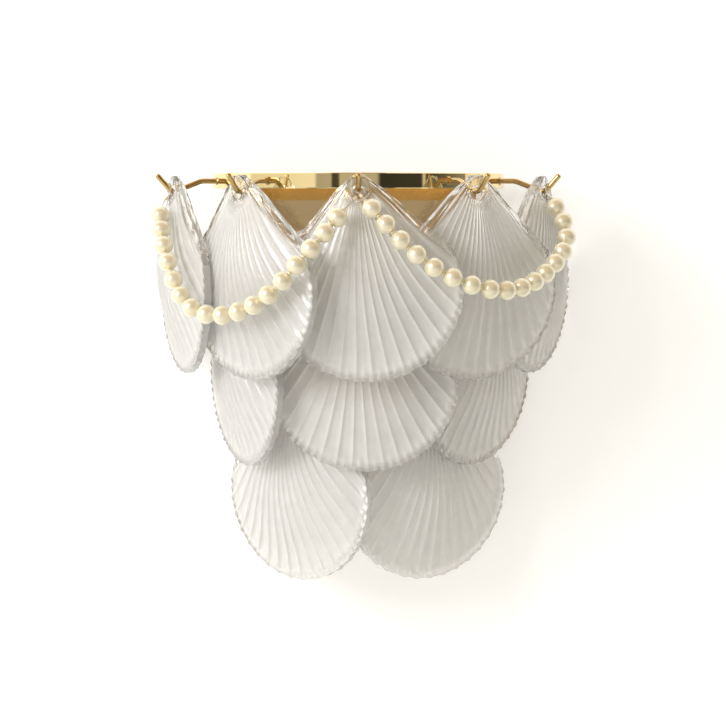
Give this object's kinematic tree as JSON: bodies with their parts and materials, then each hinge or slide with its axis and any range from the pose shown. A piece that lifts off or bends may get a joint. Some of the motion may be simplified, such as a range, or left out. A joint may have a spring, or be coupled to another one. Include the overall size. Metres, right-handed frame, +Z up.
{
  "type": "wall sconce",
  "caption": "Hard-wired wall sconce with tiers of hooked pressed-glass scallop shells on half-round gilt bands, and looped pearl strands.",
  "frame": {"origin": "middle of the wall bracket's back face, on the wall", "axes": "+Y into the wall, -Y towards the viewer, +X to the viewer's right, +Z up"},
  "size_m": [0.31, 0.1997, 0.2986],
  "materials": {
    "antique_gilt": "antiqued gilt",
    "bead_gilt": "bright gilt",
    "block_white": "moulded",
    "bulb_glass": "frosted",
    "bush_brown": "moulded",
    "cap_brass": "bright",
    "earth_green": "PVC sheath",
    "holder_black": "phenolic",
    "lead_clear": "PVC sheath",
    "pearl": "pearl lacquer",
    "plate_gilt": "lacquered gilt",
    "polished_gilt": "polished gilt",
    "pressed_glass": "frosted inside, ribbed",
    "wire_gilt": "gilt wire",
    "zinc_steel": "zinc plated"
  },
  "bodies": {
    "frame": {"wall_bracket": "zinc_steel", "mounting_studs": "zinc_steel", "backplate": "plate_gilt", "nut_washers": "bead_gilt", "cap_nuts": "bead_gilt", "top_rail": "plate_gilt", "band_spacers": "plate_gilt", "frame_screws": "bead_gilt", "frame_nuts": "zinc_steel", "top_band": "polished_gilt", "middle_band": "polished_gilt", "lower_band": "polished_gilt", "top_hook_1": "antique_gilt", "top_hook_2": "antique_gilt", "top_hook_3": "antique_gilt", "top_hook_4": "antique_gilt", "top_hook_5": "antique_gilt", "middle_hook_1": "antique_gilt", "middle_hook_2": "antique_gilt", "middle_hook_3": "antique_gilt", "lower_hook_1": "antique_gilt", "lower_hook_2": "antique_gilt", "left_lamp_bracket": "plate_gilt", "left_lampholder": "holder_black", "left_bulb": "bulb_glass", "left_bulb_cap": "cap_brass", "left_lamp_lead": "lead_clear", "right_lamp_bracket": "plate_gilt", "right_lampholder": "holder_black", "right_bulb": "bulb_glass", "right_bulb_cap": "cap_brass", "right_lamp_lead": "lead_clear", "lead_bushes": "bush_brown", "terminal_block": "block_white", "terminal_screws": "zinc_steel", "earth_stud": "zinc_steel", "earth_nut": "zinc_steel", "earth_lead": "earth_green"},
    "top_glass_1": {"top_glass_1": "pressed_glass"},
    "top_glass_2": {"top_glass_2": "pressed_glass"},
    "top_glass_3": {"top_glass_3": "pressed_glass"},
    "top_glass_4": {"top_glass_4": "pressed_glass"},
    "top_glass_5": {"top_glass_5": "pressed_glass"},
    "middle_glass_1": {"middle_glass_1": "pressed_glass"},
    "middle_glass_2": {"middle_glass_2": "pressed_glass"},
    "middle_glass_3": {"middle_glass_3": "pressed_glass"},
    "lower_glass_1": {"lower_glass_1": "pressed_glass"},
    "lower_glass_2": {"lower_glass_2": "pressed_glass"},
    "left_strand": {"left_strand_wire": "wire_gilt", "left_pearls": "pearl", "left_spacer_beads": "bead_gilt", "left_end_rings": "wire_gilt"},
    "right_strand": {"right_strand_wire": "wire_gilt", "right_pearls": "pearl", "right_spacer_beads": "bead_gilt", "right_end_rings": "wire_gilt"}
  },
  "joints": [
    {"name": "top_glass_1_swing", "type": "hinge", "parent": "frame", "child": "top_glass_1", "pos_m": [-0.1341, -0.06757, 0.0684], "axis": [-0.309, 0.9511, 0], "range_deg": [-1, 2]},
    {"name": "top_glass_2_swing", "type": "hinge", "parent": "frame", "child": "top_glass_2", "pos_m": [-0.08288, -0.13807, 0.0684], "axis": [-0.6691, 0.7431, 0], "range_deg": [-1, 1.25]},
    {"name": "top_glass_3_swing", "type": "hinge", "parent": "frame", "child": "top_glass_3", "pos_m": [0, -0.165, 0.0684], "axis": [-0.9877, 0.1564, 0], "range_deg": [-1, 2]},
    {"name": "top_glass_4_swing", "type": "hinge", "parent": "frame", "child": "top_glass_4", "pos_m": [0.08288, -0.13807, 0.0684], "axis": [-0.8829, -0.4695, 0], "range_deg": [-0.5, 2]},
    {"name": "top_glass_5_swing", "type": "hinge", "parent": "frame", "child": "top_glass_5", "pos_m": [0.1341, -0.06757, 0.0684], "axis": [-0.4384, -0.8988, 0], "range_deg": [-1, 2]},
    {"name": "middle_glass_1_swing", "type": "hinge", "parent": "frame", "child": "middle_glass_1", "pos_m": [-0.0892, -0.0755, 0.0014], "axis": [-0.4067, 0.9135, 0], "range_deg": [-0.5, 2]},
    {"name": "middle_glass_2_swing", "type": "hinge", "parent": "frame", "child": "middle_glass_2", "pos_m": [0, -0.127, 0.0014], "axis": [-0.9962, 0.0872, 0], "range_deg": [0, 2]},
    {"name": "middle_glass_3_swing", "type": "hinge", "parent": "frame", "child": "middle_glass_3", "pos_m": [0.0892, -0.0755, 0.0014], "axis": [-0.6293, -0.7771, 0], "range_deg": [-0.25, 1.25]},
    {"name": "lower_glass_1_swing", "type": "hinge", "parent": "frame", "child": "lower_glass_1", "pos_m": [-0.0502, -0.0742, -0.084], "axis": [-0.7547, 0.6561, 0], "range_deg": [-0.5, 2]},
    {"name": "lower_glass_2_swing", "type": "hinge", "parent": "frame", "child": "lower_glass_2", "pos_m": [0.0502, -0.0742, -0.084], "axis": [-0.866, -0.5, 0], "range_deg": [-0.5, 1.5]},
    {"name": "left_strand_swing", "type": "hinge", "parent": "frame", "child": "left_strand", "pos_m": [-0.06885, -0.11878, 0.07011], "axis": [-0.809, 0.5878, 0], "range_deg": [0, 8]},
    {"name": "right_strand_swing", "type": "hinge", "parent": "frame", "child": "right_strand", "pos_m": [0.06885, -0.11972, 0.07117], "axis": [-0.8037, -0.595, 0.0124], "range_deg": [0, 8]}
  ]
}
